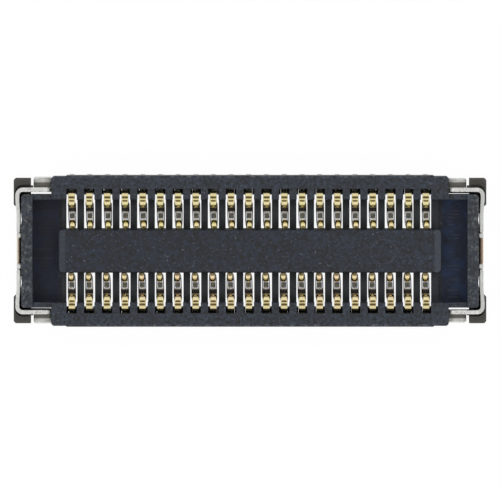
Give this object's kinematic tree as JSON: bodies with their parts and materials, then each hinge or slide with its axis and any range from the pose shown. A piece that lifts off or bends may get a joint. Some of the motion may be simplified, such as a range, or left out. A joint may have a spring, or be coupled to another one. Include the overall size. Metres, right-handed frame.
{
  "type": "board-to-board receptacle for a flexible circuit",
  "caption": "Low black rectangular receptacle with a central island, two rows of gold spring contacts and a soldered metal clip at each end.",
  "frame": {"origin": "middle of the connector on the board plane, under the island", "axes": "+X along the rows of contacts, +Y across them, +Z out of the mating face"},
  "size_m": [0.0106, 0.0034, 0.0009],
  "materials": {
    "housing_resin": "moulded, fine satin grain",
    "contact_gold": "gold plated at the contact points, bare nickel between them",
    "hold_down_tin": "tin plated, bare alloy where it was cut from its carrier"
  },
  "bodies": {
    "root": {"housing": "housing_resin", "hold_down_left": "hold_down_tin", "hold_down_right": "hold_down_tin", "contact_front_01": "contact_gold", "contact_front_02": "contact_gold", "contact_front_03": "contact_gold", "contact_front_04": "contact_gold", "contact_front_05": "contact_gold", "contact_front_06": "contact_gold", "contact_front_07": "contact_gold", "contact_front_08": "contact_gold", "contact_front_09": "contact_gold", "contact_front_10": "contact_gold", "contact_front_11": "contact_gold", "contact_front_12": "contact_gold", "contact_front_13": "contact_gold", "contact_front_14": "contact_gold", "contact_front_15": "contact_gold", "contact_front_16": "contact_gold", "contact_front_17": "contact_gold", "contact_front_18": "contact_gold", "contact_front_19": "contact_gold", "contact_front_20": "contact_gold", "contact_front_21": "contact_gold", "contact_back_01": "contact_gold", "contact_back_02": "contact_gold", "contact_back_03": "contact_gold", "contact_back_04": "contact_gold", "contact_back_05": "contact_gold", "contact_back_06": "contact_gold", "contact_back_07": "contact_gold", "contact_back_08": "contact_gold", "contact_back_09": "contact_gold", "contact_back_10": "contact_gold", "contact_back_11": "contact_gold", "contact_back_12": "contact_gold", "contact_back_13": "contact_gold", "contact_back_14": "contact_gold", "contact_back_15": "contact_gold", "contact_back_16": "contact_gold", "contact_back_17": "contact_gold", "contact_back_18": "contact_gold", "contact_back_19": "contact_gold", "contact_back_20": "contact_gold", "contact_back_21": "contact_gold"}
  },
  "joints": []
}
